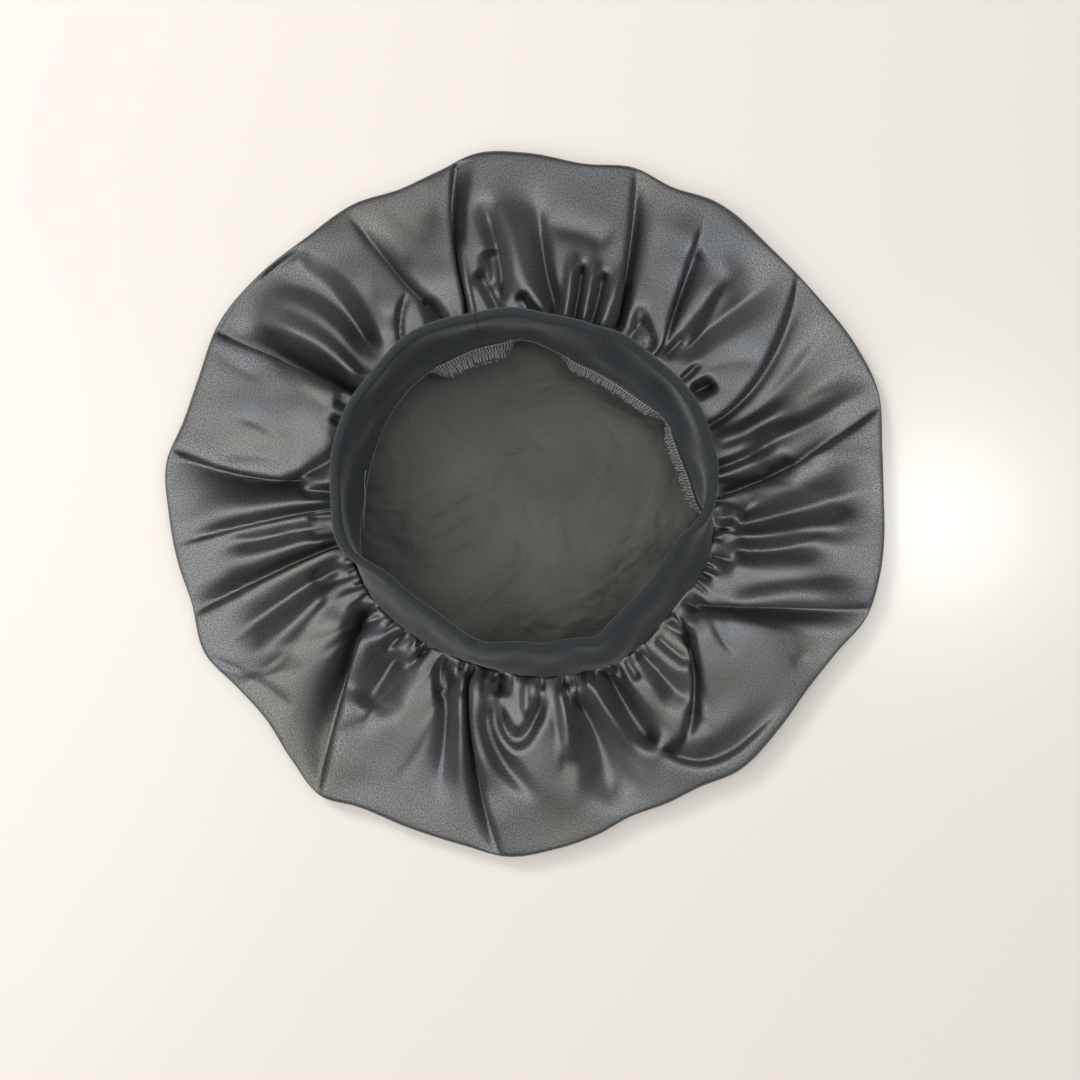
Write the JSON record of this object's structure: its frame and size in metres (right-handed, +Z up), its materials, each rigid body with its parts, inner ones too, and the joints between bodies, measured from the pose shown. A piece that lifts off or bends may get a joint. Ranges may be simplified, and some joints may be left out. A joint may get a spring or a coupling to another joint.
{
  "type": "sleep bonnet",
  "caption": "Round satin sleep bonnet with a wide knit head band, lying crown down with its opening up; hollow, softly gathered, free-standing.",
  "frame": {"origin": "on the surface the bonnet lies on, under the middle of the rim's box", "axes": "+Z up, out of the head opening; +Y is the picture's up and +X the picture's right"},
  "size_m": [0.3596, 0.353, 0.0485],
  "materials": {
    "satin": "dark grey woven satin, glossy outside and matte on its reverse",
    "knit": "smooth matte jersey knit, dark blue-grey",
    "overlocked_edge": "raw satin and knit edge under pale grey overlock thread"
  },
  "bodies": {
    "root": {"crown": "satin", "band": "knit", "seam_allowance": "overlocked_edge"}
  },
  "joints": []
}
